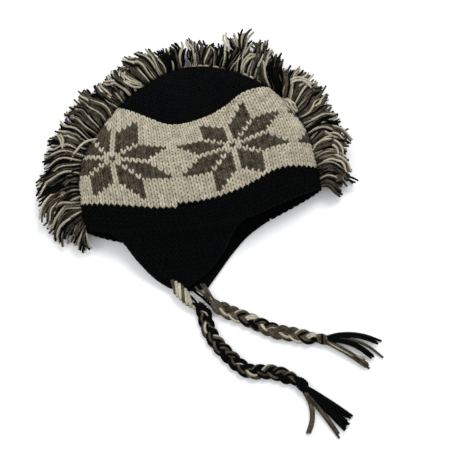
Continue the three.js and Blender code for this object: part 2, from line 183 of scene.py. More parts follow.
# Locks that lie on the fringe: place along it, inset on the wall, colours side by side, lean and curl
# in degrees, wave in degrees, length and height of the tip.
LOCKS = (
    (0.030, 0.004, "bc", -10, 10, 10, 26, 4),
    (0.072, 0.010, "cbbbc", 55, -120, 0, 54, 20),
    (0.082, 0.008, "cc", -5, -62, 0, 46, 14),
    (0.105, 0.008, "cbk", -10, -55, 8, 52, 18),
    (0.135, 0.008, "ck", 4, -62, 5, 56, 16),
    (0.154, 0.008, "kk", 16, -38, 0, 42, 18),
    (0.165, 0.010, "cc", 50, -30, -34, 42, 26),
    (0.207, 0.010, "cbc", -6, 6, 14, 40, 20),
    (0.222, 0.075, "c", -50, -46, 0, 42, 30),
    (0.245, 0.006, "kc", 14, -6, 22, 48, 18),
    (0.275, 0.008, "cb", 20, -14, 8, 46, 22),
    (0.336, 0.008, "cc", -26, 50, 0, 34, 28),
    (0.345, 0.006, "cc", 6, -20, 46, 40, 24),
    (0.405, 0.012, "ccc", -76, 112, 0, 34, 28),
    (0.430, 0.006, "kcbc", -14, -6, 6, 44, 18),
    (0.465, 0.004, "kk", 20, -30, 10, 32, 20),
    (0.500, 0.004, "ck", 8, -14, 24, 34, 20),
    (0.520, 0.004, "cc", -10, 16, 24, 32, 22),
    (0.598, 0.004, "cc", -20, 30, 34, 46, 20),
    (0.650, 0.006, "cc", -20, 112, 0, 34, 28),
    (0.694, 0.004, "c", -26, 2, 8, 46, 22),
    (0.752, 0.006, "cbc", 20, -22, 0, 46, 18),
    (0.765, 0.012, "ccc", 92, 6, 0, 24, 27),
    (0.768, 0.010, "cc", -50, 156, 0, 50, 26),
    (0.825, 0.006, "cb", -4, -10, 14, 44, 20),
    (0.835, 0.004, "b", -24, -4, 0, 52, 18),
    (0.882, 0.004, "b", 0, -8, 0, 46, 16),
    (0.900, 0.010, "cbbc", -60, 138, 0, 54, 22),
    (0.918, 0.014, "cbc", -58, 150, 0, 40, 30),
    (0.942, 0.010, "cbc", -32, 120, 0, 46, 24),
    (0.952, 0.006, "kk", 18, 2, 0, 46, 12),
    (0.968, 0.006, "bbb", 54, -176, 0, 42, 18),
)
LOCK_RISE = 8.0
LOCK_SPACING = 2.1  # from yarn to yarn of a lock, in their radii
FRINGE_PAINTED_SHADE = 0.84  # painted shade: the cut yarns of the fringe are drawn darker than the same wool in the knitting

# The running stitches that hold the fringe: which half tufts they start in, how many are hidden, and
# how far in on the wall they lie.
RUNNING_STITCHES = range(24, 37)
HIDDEN_STITCHES = 0.3
RUNNING_INSET = 0.062
RUNNING_RADIUS = 1.1
RUNNING_RISES = (-1.2, 1.0, 1.5, 1.0, -1.2)  # along a stitch, over the wall

# ---- Braided ties: knots and wraps as (middle, axis, turns, length, width, thickness, tilt, colours,
# yarn radius), leads as the short yarns from a flap's tip to its braid, routes on plan, and bundles of
# tassel yarns as (colour, count, width, start, end, bow) ----
BRAID_HEIGHT = 5.0
BRAID_PERIOD = 35.0
BRAID_SWAY = 4.9
BRAID_WEAVE = 1.8
BRAID_ENDS = 12.0  # length over which a braid narrows at its ends
STRAND_TWIST = 70.0  # length in which the yarns of a strand wind round each other once
ROUTE_STEP = 1.6
BUNDLE_WIDE = 2.3
BUNDLE_THICK = 1.2
BRAID_YARN = 1.6
TASSEL_YARN = 1.5
TASSEL_START_HEIGHT = 5.5
TASSEL_END_HEIGHT = 3.0
LEAD_RADIUS = 1.35  # of the short yarns from a flap's tip to its braid
TIES = {
    "upper": {
        "wraps": [
            ((-42.0, -152.0, 8.8), (0.66, -0.75, 0), 6, 26, 16, 11, 7.0, "bccbcc", 2.1),
            ((-23.5, -171.5, 5.6), (0.45, -0.89, 0), 2, 5, 12, 10, 1.0, "kk", 1.5),
        ],
        "leads": [
            ("k", [(-38, -156, 7), (-33, -163, 7), (-28, -169, 6), (-23, -176, 5)]),
            ("k", [(-35, -154, 8), (-30, -161, 8), (-26, -168, 7), (-21, -176, 6)]),
            ("k", [(-32, -166, 8), (-27, -169, 9.5), (-22, -171, 9), (-17, -172, 6)]),
        ],
        "route": [
            (-26, -168), (-21, -178), (-19.5, -193), (-15.5, -207), (-8, -220.5), (1, -233.5),
            (10, -244.5), (18, -250.5), (28.5, -252.5), (41, -255), (50, -259), (61, -266), (66, -270.5),
        ],
        "strands": ("kbkbk", "kkbck", "bkkbk"),
        "knot": ((70, -274, 6), (0.75, -0.66, 0), 5, 13, 14.5, 11.5, 3.0, "kkkkk", 1.9),
        "knot_slot": "black_wool",
        "tassel": [
            ("k", 4, 6.5, (73, -277), (115, -317), 0.6),
            ("k", 4, 6.5, (72, -279), (110, -323), 0.0),
            ("k", 3, 5.0, (72, -280), (108, -329), 1.0),
            ("b", 3, 4.0, (72, -281), (99, -333), 0.7),
            ("b", 3, 4.5, (71, -281), (67, -327), 7.0),
        ],
    },
    "under": {
        "wraps": [
            ((-15.5, -159.5, 4.8), (0.6, -0.8, 0), 2, 7, 9, 7, 1.5, "bk", 1.3),
        ],
        "leads": [
            ("b", [(-19, -146, 4), (-17, -150, 6), (-14, -158, 7), (-11, -166, 7), (-5, -173, 6)]),
            ("b", [(-16, -146, 4), (-14, -150, 6), (-11, -158, 7), (-8, -165, 7), (-2, -172, 6)]),
            ("k", [(-28, -150, 5), (-26, -154, 6), (-19, -162, 7), (-13, -170, 6), (-6, -177, 5)]),
            ("b", [(-25, -148, 5), (-23, -152, 6), (-16, -160, 7), (-10, -168, 6), (-3, -175, 5)]),
        ],
        "route": [
            (-10, -169), (-1, -177), (10, -184.5), (22, -191.5), (34, -199.5), (45, -207), (55, -213),
            (65, -216.5), (75, -220.5), (87, -225), (97, -228),
        ],
        "strands": ("bbkbb", "bccbb", "kkbcb"),
        "knot": ((100.5, -229.1, 5.4), (0.95, -0.3, 0), 5, 11, 12.5, 10.5, 1.2, "bbkbb", 1.5),
        "knot_slot": "brown_wool",
        "tassel": [
            ("k", 4, 6.0, (105, -229), (160, -242), 5.5),
            ("c", 2, 3.0, (105, -228), (130, -229), 1.0),
            ("k", 4, 5.5, (104, -231), (151, -257), 6.0),
            ("b", 4, 6.5, (104, -232), (145, -267), 1.5),
            ("c", 2, 3.0, (105, -231), (142, -258), -2.0),
            ("b", 1, 1.0, (106, -230), (162, -259), 8.0),
        ],
    },
}

# ---- Colours, linear ----
BLACK = (0.0021, 0.0024, 0.0026)
CREAM = (0.50, 0.455, 0.35)
BROWN = (0.104, 0.086, 0.060)
BLACK_FLECK = (0.0012, 0.0013, 0.0015)
CREAM_FLECK = (0.33, 0.295, 0.22)
BROWN_FLECK = (0.024, 0.019, 0.013)
PLY_LENGTH = 7  # in which two plies wind round a yarn once


# ---------------------------------------------------------------- the knitted surface


def catmull(points, share):
    """The centripetal Catmull-Rom curve through points, at shares from 0 to 1 of its spans."""
    points = np.asarray(points, float)
    ends = (2 * points[0] - points[1], 2 * points[-1] - points[-2])
    held = np.vstack([ends[0], points, ends[1]])
    spans = len(points) - 1
    place = np.clip(share, 0, 1) * spans
    span = np.minimum(place.astype(int), spans - 1)
    t = (place - span)[..., None]
    a, b, c, d = (held[span + k] for k in range(4))
    before, within, after = (
        np.sqrt(np.linalg.norm(q - p, axis=-1, keepdims=True)) for p, q in ((a, b), (b, c), (c, d))
    )
    start = ((b - a) / before - (c - a) / (before + within) + (c - b) / within) * within
    end = ((c - b) / within - (d - b) / (within + after) + (d - c) / after) * within
    return hermite(b, start, c, end, t)


def hermite(p, p_slope, q, q_slope, t):
    """Places on cubics from p to q with given slopes at their ends."""
    s = 1 - t
    return p * (1 + 2 * t) * s**2 + p_slope * t * s**2 + q * t * t * (3 - 2 * t) + q_slope * t * t * (t - 1)


def plan_share(share):
    """The share of the way across a wall on plan, for a share of its stitches."""
    half = np.minimum(share, 1 - share)
    moved = (1 + 2 * FOLD_ROUNDNESS) * half * half / (half + FOLD_ROUNDNESS)
    return np.where(share < 0.5, moved, 1 - moved)


def key_point(key, share, upper):
    """Places on a key row, at shares of the upper or under wall from its left fold."""
    _, plan, sag, fold, rise = key
    across = plan_share(share)
    place = catmull([(x, y, 0) for x, y in plan], across)
    off = np.abs(2 * across - 1)
    above = fold + rise * np.sqrt(1 - off**UPPER_CROSS_POWER)
    below = np.maximum(0, fold * (1 - UNDER_FLATNESS * np.sqrt(1 - off**UNDER_CROSS_POWER)))
    place[..., 2] = np.where(upper, above, below)
    place[..., 1] -= np.where(upper, 0, sag * (1 - off * off))
    return place


def ring(turn, row):
    """Places on the outer face at shares of a turn round the hat: from the left fold over the upper
    wall to the right fold, and back through the under wall."""
    turn, row = np.broadcast_arrays(np.mod(np.asarray(turn, float), 1), np.asarray(row, float))
    upper = turn <= UPPER_TURN
    share = np.where(upper, turn / UPPER_TURN, (1 - turn) / (1 - UPPER_TURN))
    return wall(share + EVENING * share * (1 - share) * (1 - 2 * share), upper, row)


def wall(share, upper, row):
    """Places on the outer face of the upper or under wall, at shares from its left fold."""
    share, upper, row = np.broadcast_arrays(np.asarray(share, float), upper, np.asarray(row, float))
    rows = np.array([key[0] for key in KEY_ROWS] + [CROWN_TIP_ROW], float)
    places = [key_point(key, share, upper) for key in KEY_ROWS]
    places.append(np.broadcast_to(CROWN_TIP, places[0].shape))
    angle = np.pi * share
    rise = np.where(upper, -TIP_FROM_ABOVE, TIP_FROM_BELOW)
    at_tip = np.stack([TIP_ALONG_FOLD * np.cos(angle), 0 * angle, rise * np.sin(angle)], -1)
    slopes = []
    for k in range(len(KEY_ROWS)):
        low = max(k - 1, 0)
        slopes.append((places[k + 1] - places[low]) / (rows[k + 1] - rows[low]))
    slopes.append(at_tip)
    places, slopes = np.stack(places), np.stack(slopes)
    part = np.clip(np.searchsorted(rows, row, side="left") - 1, 0, len(rows) - 2)
    span = (rows[part + 1] - rows[part])[..., None]
    t = (row - rows[part])[..., None] / span

    def pick(values, which):
        index = np.broadcast_to(which[None, ..., None], values[:1].shape)
        return np.take_along_axis(values, index, 0)[0]

    low, low_slope = pick(places, part), pick(slopes, part) * span
    high, high_slope = pick(places, part + 1), pick(slopes, part + 1) * span
    place = hermite(low, low_slope, high, high_slope, t)
    place[..., 2] = np.maximum(place[..., 2], 0)
    return place


def unit(vectors):
    """Vectors of length 1 in the same directions."""
    return vectors / np.maximum(np.linalg.norm(vectors, axis=-1, keepdims=True), 1e-9)


def ring_normal(turn, row):
    """Outward normals of the knitting."""
    row = np.clip(row, 0, CROWN_TIP_ROW - 0.3)
    around = ring(turn + 0.003, row) - ring(turn - 0.003, row)
    upward = ring(turn, row + 0.25) - ring(turn, np.maximum(row - 0.25, 0))
    return unit(np.cross(around, upward))


def below(turn, row, depth):
    """Places under the outer face, and its normals. Rows under the rim carry straight on."""
    held = np.maximum(row, 0)
    normal = ring_normal(turn, held)
    place = ring(turn, held) - normal * np.asarray(depth)[..., None]
    down = unit(ring(turn, held) - ring(turn, held + 1.0))
    return place + down * (ROW * (held - row))[..., None], normal


def columns_at(row):
    """The column at the left fold, and how many columns go round the hat."""
    drift = np.clip((np.asarray(row) - RIM_TOP_ROW) / (BAND_TOP_ROW - RIM_TOP_ROW), 0, 1)
    drift = drift**COLUMN_DRIFT
    left = COLUMNS_AT_RIM[0] + (COLUMNS_AT_CROWN[0] - COLUMNS_AT_RIM[0]) * drift
    right = COLUMNS_AT_RIM[1] + (COLUMNS_AT_CROWN[1] - COLUMNS_AT_RIM[1]) * drift
    return left, (right - left) / UPPER_TURN


def below_columns(column, row, depth):
    """The same as below, with the place round the hat given as a column of stitches."""
    left, total = columns_at(row)
    return below((column - left) / total, row, depth)


class Flap:
    """The surface of an ear flap, in millimetres across its middle line and rows down from the rim."""

    def __init__(self, flap, upper):
        self.on_rim, self.left, self.right = flap
        self.upper = upper

    def place(self, across, down):
        first, last = self.on_rim
        rim = ring(first + (last - first) * across, 0.0)
        left_end, right_end = ring(first, 0.0), ring(last, 0.0)
        left = catmull(np.vstack([left_end, self.left]), down)
        right = catmull(np.vstack([right_end, self.right]), down)
        between = left + (right - left) * across[..., None]
        chord = left_end + (right_end - left_end) * across[..., None]
        made = between + (rim - chord) * ((1 - down) ** 2)[..., None]
        made[..., 2] = np.maximum(made[..., 2], 0)
        return made

    def width(self, down):
        ends = self.place(np.array([0.0, 1.0]), np.full(2, down))
        return float(np.linalg.norm(ends[1] - ends[0]))

    def surface(self, across, down, depth):
        """Places at a depth under the knit side, and the knit side's normals."""
        step = 0.02
        down = np.clip(down, 0, 1)
        sideways = self.place(across + step, down) - self.place(across - step, down)
        upward = self.place(across, down - step) - self.place(across, down + step)
        normal = unit(np.cross(sideways, upward))
        facing = 1 if self.upper else -1
        normal = normal * np.where(normal[..., 2:] < 0, -facing, facing)
        return self.place(across, down) - normal * np.asarray(depth)[..., None], normal


# ---------------------------------------------------------------- meshes of yarn


def sweep(centres, ups, radii, sides=YARN_SIDES):
    """Closed tubes round polylines. centres is (tubes, stations, 3), and radii (tubes, stations, 2) is
    half the width and half the height. Returns a batch for mesh_of."""
    tubes, stations, _ = centres.shape
    along = unit(np.gradient(centres, axis=1))
    side = unit(np.cross(along, ups))
    upright = np.cross(side, along)
    angle = 2 * np.pi * np.arange(sides) / sides
    wide = side[:, :, None] * (np.cos(angle)[:, None] * radii[:, :, None, :1])
    high = upright[:, :, None] * (np.sin(angle)[:, None] * radii[:, :, None, 1:])
    points = (centres[:, :, None] + wide + high).reshape(-1, 3)
    first = (np.arange(tubes) * stations * sides)[:, None, None]
    station = (np.arange(stations - 1) * sides)[None, :, None]
    k = np.arange(sides)[None, None, :]
    low, following = first + station + k, first + station + (k + 1) % sides
    quads = np.stack([low, low + sides, following + sides, following], -1).reshape(-1, 4)
    start = first[:, 0] + np.arange(sides)
    caps = np.vstack([start, (start + (stations - 1) * sides)[:, ::-1]])
    steps = np.linalg.norm(np.diff(centres, axis=1), axis=-1)
    length = np.concatenate([np.zeros((tubes, 1)), np.cumsum(steps, 1)], 1)
    u0 = np.repeat(length[:, :-1, None], sides, 2)
    u1 = np.repeat(length[:, 1:, None], sides, 2)
    v0 = np.broadcast_to(k / sides, u0.shape)
    v1 = v0 + 1 / sides
    corners = ((u0, v0), (u1, v0), (u1, v1), (u0, v1))
    uv = np.stack([np.stack(corner, -1) for corner in corners], 3)
    cap_uv = np.stack([np.zeros(sides), np.arange(sides) / sides], -1)
    return {
        "points": points,
        "quads": quads,
        "caps": caps,
        "uv": uv.reshape(-1, 2),
        "cap_uv": np.tile(cap_uv, (len(caps), 1)),
        "tubes": tubes,
        "faces_each": (stations - 1) * sides,
        "points_each": stations * sides,
    }


def mesh_of(name, batches, looks, replaced=()):
    """One piece from batches of tubes or grids. A batch's look is an index into looks, or one for each
    tube, and its tint makes each tube a little lighter or darker."""
    points, sizes, corners, uvs, indices, tints = [], [], [], [], [], []
    count = 0
    for batch in batches:
        look = np.broadcast_to(np.asarray(batch.get("look", 0)), (batch["tubes"],))
        tint = np.broadcast_to(np.asarray(batch.get("tint", 1.0), float), (batch["tubes"],))
        points.append(batch["points"])
        corners += [(batch["quads"] + count).ravel(), (batch["caps"] + count).ravel()]
        sizes.append(np.full(len(batch["quads"]), 4))
        sizes.append(np.full(len(batch["caps"]), batch["caps"].shape[-1]))
        uvs += [batch["uv"], batch["cap_uv"]]
        indices.append(np.repeat(look, batch["faces_each"]))
        indices.append(np.tile(look, len(batch["caps"]) // batch["tubes"]))
        tints.append(np.repeat(tint, batch["points_each"]))
        count += len(batch["points"])
    points, corners = np.vstack(points) * MM, np.concatenate(corners)
    points[:, 2] = np.maximum(points[:, 2], 0)  # the wool is pressed flat where it rests
    sizes = np.concatenate(sizes)
    mesh = bpy.data.meshes.new(name)
    mesh.vertices.add(len(points))
    mesh.vertices.foreach_set("co", points.astype(np.float32).ravel())
    mesh.loops.add(len(corners))
    mesh.loops.foreach_set("vertex_index", corners.astype(np.int32))
    mesh.polygons.add(len(sizes))
    starts = np.concatenate([[0], np.cumsum(sizes)[:-1]])
    mesh.polygons.foreach_set("loop_start", starts.astype(np.int32))
    mesh.polygons.foreach_set("material_index", np.concatenate(indices).astype(np.int32))
    mesh.polygons.foreach_set("use_smooth", np.ones(len(sizes), bool))
    along_yarn = mesh.uv_layers.new(name="along_yarn")
    along_yarn.uv.foreach_set("vector", np.vstack(uvs).astype(np.float32).ravel())
    shade = mesh.attributes.new("tint", "FLOAT", "POINT")
    shade.data.foreach_set("value", np.concatenate(tints).astype(np.float32))
    mesh.validate()
    mesh.update()
    for look in looks:
        mesh.materials.append(look)
    piece = bpy.data.objects.new(name, mesh)
    bpy.context.scene.collection.objects.link(piece)
    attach(piece, "root")
    if replaced:
        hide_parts(*replaced)
    return piece


def grid_batch(points, closed=False):
    """A batch of one open or closed grid of points, (rows, columns, 3), facing right-handed."""
    rows, columns, _ = points.shape
    last = columns if closed else columns - 1
    row, column = np.meshgrid(np.arange(rows - 1), np.arange(last), indexing="ij")
    a, b = row * columns + column, row * columns + (column + 1) % columns
    quads = np.stack([a, b, b + columns, a + columns], -1).reshape(-1, 4)
    uv = np.stack([column, row], -1).reshape(-1, 1, 2) + np.array([(0, 0), (1, 0), (1, 1), (0, 1)])
    return {
        "points": points.reshape(-1, 3),
        "quads": quads,
        "caps": np.zeros((0, 3), int),
        "uv": uv.reshape(-1, 2),
        "cap_uv": np.zeros((0, 2)),
        "tubes": 1,
        "faces_each": len(quads),
        "points_each": rows * columns,
    }


# ---------------------------------------------------------------- wool


def wool(name, colour, fleck, sheen):
    """Plied wool yarn: twisted plies along each yarn with painted shade in the grooves between them,
    heathered with a fleck colour, with a soft nap.
    """
    look = bpy.data.materials.new(name)
    look.use_nodes = True
    nodes, links = look.node_tree.nodes, look.node_tree.links
    shader = nodes["Principled BSDF"]
    shader.inputs["Roughness"].default_value = 0.92
    shader.inputs["Sheen Weight"].default_value = sheen
    shader.inputs["Sheen Roughness"].default_value = 0.55
    shader.inputs["Sheen Tint"].default_value = (*[min(1.0, 0.25 + c) for c in colour], 1)
    shader.inputs["Specular IOR Level"].default_value = 0.04

    place = nodes.new("ShaderNodeTexCoord")
    yarn = nodes.new("ShaderNodeUVMap")
    yarn.uv_map = "along_yarn"
    split = nodes.new("ShaderNodeSeparateXYZ")
    links.new(yarn.outputs["UV"], split.inputs[0])

    def maths(operation, a, b=0.0):
        node = nodes.new("ShaderNodeMath")
        node.operation = operation
        for socket, value in zip(node.inputs, (a, b)):
            if isinstance(value, (int, float)):
                socket.default_value = value
            else:
                links.new(value, socket)
        return node.outputs[0]

    wound = maths("ADD", maths("MULTIPLY", split.outputs["X"], 1 / PLY_LENGTH), split.outputs["Y"])
    plies = maths("SINE", maths("MULTIPLY", wound, 2 * 2 * np.pi))
    groove = maths("ADD", maths("MULTIPLY", plies, 0.5), 0.5)

    fibres = nodes.new("ShaderNodeTexNoise")
    fibres.inputs["Scale"].default_value = 1500
    fibres.inputs["Detail"].default_value = 3
    links.new(place.outputs["Object"], fibres.inputs["Vector"])
    cloud = nodes.new("ShaderNodeTexNoise")
    cloud.inputs["Scale"].default_value = 190
    cloud.inputs["Detail"].default_value = 2
    links.new(place.outputs["Object"], cloud.inputs["Vector"])

    heather = nodes.new("ShaderNodeValToRGB")
    heather.color_ramp.elements[0].position = 0.43
    heather.color_ramp.elements[0].color = (*fleck, 1)
    heather.color_ramp.elements[1].position = 0.58
    heather.color_ramp.elements[1].color = (*colour, 1)
    fine = maths("MULTIPLY", fibres.outputs["Fac"], 0.6)
    coarse = maths("MULTIPLY", cloud.outputs["Fac"], 0.4)
    mixed = maths("ADD", fine, coarse)
    links.new(mixed, heather.inputs["Fac"])

    tint = nodes.new("ShaderNodeAttribute")
    tint.attribute_name = "tint"
    # Painted shade: the colour is darkened in the grooves between the plies.
    light = maths("MULTIPLY", tint.outputs["Fac"], maths("ADD", maths("MULTIPLY", groove, 0.22), 0.82))
    shaded = nodes.new("ShaderNodeVectorMath")
    shaded.operation = "SCALE"
    links.new(heather.outputs["Color"], shaded.inputs[0])
    links.new(light, shaded.inputs["Scale"])
    links.new(shaded.outputs[0], shader.inputs["Base Color"])

    height = maths("ADD", maths("MULTIPLY", groove, 0.8), maths("MULTIPLY", fibres.outputs["Fac"], 0.5))
    bump = nodes.new("ShaderNodeBump")
    bump.inputs["Strength"].default_value = 0.55
    bump.inputs["Distance"].default_value = 0.0006
    links.new(height, bump.inputs["Height"])
    links.new(bump.outputs[0], shader.inputs["Normal"])
    return look


black_wool = wool("black_wool", BLACK, BLACK_FLECK, sheen=0.006)
cream_wool = wool("cream_wool", CREAM, CREAM_FLECK, sheen=0.12)
brown_wool = wool("brown_wool", BROWN, BROWN_FLECK, sheen=0.05)
WOOLS = (black_wool, cream_wool, brown_wool)
LOOK = {"k": 0, "c": 1, "b": 2}


def tints(count):
    """A brightness for each of some yarns."""
    return 1 + 0.09 * RANDOM.standard_normal(count).clip(-2, 2)


# ---------------------------------------------------------------- camera, floor and light


def set_camera():
    """The camera looks down on the lying hat from beyond its ties."""
    azimuth, elevation = np.radians([CAMERA_AZIMUTH, CAMERA_ELEVATION])
    back = Vector(
        (
            np.sin(azimuth) * np.cos(elevation),
            -np.cos(azimuth) * np.cos(elevation),
            np.sin(elevation),
        )
    )
    camera = bpy.data.objects.new("camera", bpy.data.cameras.new("camera"))
    camera.data.lens = CAMERA_LENS
    camera.data.clip_end = 20
    camera.location = (Vector(CAMERA_TARGET) + back * CAMERA_DISTANCE) * MM
    camera.rotation_euler = (-back).to_track_quat("-Z", "Y").to_euler()
    bpy.context.scene.collection.objects.link(camera)
    bpy.context.scene.camera = camera


def soft_light(name, place, size, power):
    """A round area light that faces the hat; place and size are in metres."""
    lamp = bpy.data.lights.new(name, "AREA")
    lamp.shape = "DISK"
    lamp.size = size
    lamp.energy = power
    light = bpy.data.objects.new(name, lamp)
    light.location = place
    aim = Vector((0, -0.09, 0)) - Vector(place)
    light.rotation_euler = aim.to_track_quat("-Z", "Y").to_euler()
    bpy.context.scene.collection.objects.link(light)


def set_stage():
    """Plain pale floor, an even surrounding light and two soft lamps."""
    scene = bpy.context.scene
    scene.view_settings.view_transform = "Standard"
    world = bpy.data.worlds.new("studio")
    world.use_nodes = True
    world.node_tree.nodes["Background"].inputs["Color"].default_value = (0.96, 0.98, 1.0, 1)
    world.node_tree.nodes["Background"].inputs["Strength"].default_value = 0.88
    scene.world = world
    soft_light("key", (0.5, 0.8, 1.6), 0.9, 17)
    soft_light("fill", (-1.0, 0.1, 1.3), 1.2, 5)
    bpy.ops.mesh.primitive_plane_add(size=8, location=(0, 0, -0.0004))
    floor = bpy.context.object
    floor.name = "floor"
    pale = bpy.data.materials.new("pale_floor")
    pale.use_nodes = True
    pale.node_tree.nodes["Principled BSDF"].inputs["Base Color"].default_value = (0.93, 0.93, 0.93, 1)
    pale.node_tree.nodes["Principled BSDF"].inputs["Roughness"].default_value = 0.9
    floor.data.materials.append(pale)


# ---------------------------------------------------------------- knitting

RIGHT_LEG = tuple((-x, y, depth, share) for x, y, depth, share in reversed(LEFT_LEG))
LOOP = np.array(LEFT_LEG + (HEAD,) + RIGHT_LEG)


def loops(surface, place, row, size=1.0, row_size=1.0, head_depth=0.0):
    """A batch of knit stitches at the middles of their cells, on surface(place, row, depth), where a
    stitch is size wide and row_size high. head_depth raises the heads of a row above the next row."""
    count = len(place)
    jitter = RANDOM.normal(0, 1, (4, count, 1))
    across = LOOP[:, 0] * (1 + 0.04 * jitter[0]) * np.asarray(size)[..., None]
    upward = (LOOP[:, 1] + 0.03 * jitter[1]) * row_size
    depth = LOOP[:, 2] + 0.10 * np.abs(jitter[2]) - head_depth * np.clip(3 * LOOP[:, 1] - 0.8, 0, 1)
    centres, normals = surface(place[:, None] + across, row[:, None] + upward, depth)
    radius = YARN_RADIUS * LOOP[:, 3] * (1 + 0.03 * jitter[3].clip(-2, 2))
    batch = sweep(centres, normals, np.stack([radius, radius * 0.95], -1))
    batch["tint"] = tints(count)
    return batch


def in_star(column, row):
    """Whether a stitch of the band is brown. The petals lie between the star's axes and diagonals."""
    half = STAR_REPEAT // 2
    i = np.abs((column - STAR_COLUMN + half) % STAR_REPEAT - half)
    j = np.abs(row - STAR_ROW)
    low, high = np.minimum(i, j), np.maximum(i, j)
    petal = (low >= 1) & (low <= STAR_REACH) & (high > low) & (high <= low + PETAL)
    return petal | ((i == 0) & (j == 0))


def columns_of(rows):
    """Every stitch of some rows, as whole columns and rows."""
    column, row = [], []
    for r in rows:
        left, total = columns_at(r + 0.5)
        column.append(np.arange(int(np.ceil(left - 0.3)), int(np.floor(left + total - 0.7)) + 1))
        row.append(np.full(len(column[-1]), r))
    return np.concatenate(column), np.concatenate(row)


def backing(first_row, last_row):
    """The closed knitting behind the stitches between two rows: its outer face, its purl face inside
    the hat with a ridge for each row, and its edges."""
    around, each = 168, 3
    rows = np.linspace(first_row, last_row, int((last_row - first_row) * each) + 1)
    turn, row = np.meshgrid(np.arange(around) / around, rows)
    ridge = 0.5 + 0.5 * np.cos(2 * np.pi * (row + 0.25 * np.cos(np.pi * around * turn)))
    outer, _ = below(turn, row, np.full(row.shape, BACK_DEPTH))
    inner, _ = below(turn, row, PURL_DEPTH - PURL_RIDGE * ridge)
    batches = [grid_batch(outer, True), grid_batch(inner[:, ::-1], True)]
    batches.append(grid_batch(np.stack([inner[0], outer[0]]), True))
    batches.append(grid_batch(np.stack([outer[-1], inner[-1]]), True))
    return batches


def edge_beads(surface, place):
    """The cast-on edge: one bead of yarn under each stitch of the first row."""
    across, upward, depth = (np.tile(values, (len(place), 1)) for values in np.array(EDGE_BEAD).T)
    centres, normals = surface(place[:, None] + across, upward, depth)
    batch = sweep(centres, normals, np.full((*across.shape, 2), YARN_RADIUS * 0.95))
    batch["tint"] = tints(len(place))
    return batch


def make_hat():
    """The rim, the star band and the crown, stitch by stitch over closed backings."""
    column, row = columns_of(range(RIM_TOP_ROW))
    rim = [loops(below_columns, column + 0.5, row + 0.5)]
    left, total = columns_at(0)
    edge = column[row == 0] + 0.5
    turn = (edge - left) / total
    hung = sum((turn > min(ends)) & (turn < max(ends)) for ends in (UPPER_FLAP[0], UNDER_FLAP[0]))
    rim.append(edge_beads(below_columns, edge[hung == 0]))
    mesh_of("rim_band_knit", rim + backing(0, RIM_TOP_ROW), [black_wool], ["rim_band"])

    column, row = columns_of(range(RIM_TOP_ROW, BAND_TOP_ROW))
    brown = in_star(column, row)
    black = (row == RIM_TOP_ROW) & (column >= JOG_COLUMN)
    last = row == BAND_TOP_ROW - 1
    inner = ~brown & ~black & ~last
    ground = [loops(below_columns, column[inner] + 0.5, row[inner] + 0.5)]
    ground.append(loops(below_columns, column[last] + 0.5, row[last] + 0.5, head_depth=LAST_ROW_RISE))
    mesh_of("star_band_knit", ground, [cream_wool], ["star_band"])
    step = [loops(below_columns, column[black] + 0.5, row[black] + 0.5)]
    left, total = columns_at(RIM_TOP_ROW)
    shares = np.linspace((JOG_COLUMN - left) / total, 1.0, 160)
    turn, height = np.meshgrid(shares, np.linspace(RIM_TOP_ROW, RIM_TOP_ROW + 1, 4))
    behind, _ = below(turn, height, np.full(turn.shape, FIRST_ROW_BACK_DEPTH))
    mesh_of("star_band_first_row", step + [grid_batch(behind)], [black_wool])
    stars = [loops(below_columns, column[brown] + 0.5, row[brown] + 0.5)]
    mesh_of("star_band_stars", stars, [brown_wool])
    mesh_of("star_band_back", backing(RIM_TOP_ROW, BAND_TOP_ROW), [cream_wool])

    turn, row, size = [], [], []
    for r in range(BAND_TOP_ROW, CROWN_TIP_ROW):
        decreases = (r - BAND_TOP_ROW) // DECREASE_ROWS
        held = min(BAND_TOP_ROW + DECREASE_ROWS * (decreases + 0.5), CROWN_TIP_ROW - 0.5)
        edge = ring(np.linspace(0, 1, 121), held)
        length = np.linalg.norm(np.diff(edge, axis=0), axis=1).sum()
        count = 2 * max(3, round(length / STITCH / 2))
        turn.append((np.arange(count) + 0.5) / count)
        row.append(np.full(count, min(r + 0.5, CROWN_TIP_ROW - 0.75)))
        size.append(np.full(count, 1 / count))
    crown = [loops(below, *map(np.concatenate, (turn, row, size)))]
    crown += backing(BAND_TOP_ROW, CROWN_TIP_ROW - 0.05)
    mesh_of("crown_knit", crown, [black_wool], ["crown"])


def outline_of(grid):
    """The points round the edge of a grid."""
    return np.concatenate([grid[0], grid[1:, -1], grid[-1, -2::-1], grid[-2:0:-1, 0]])


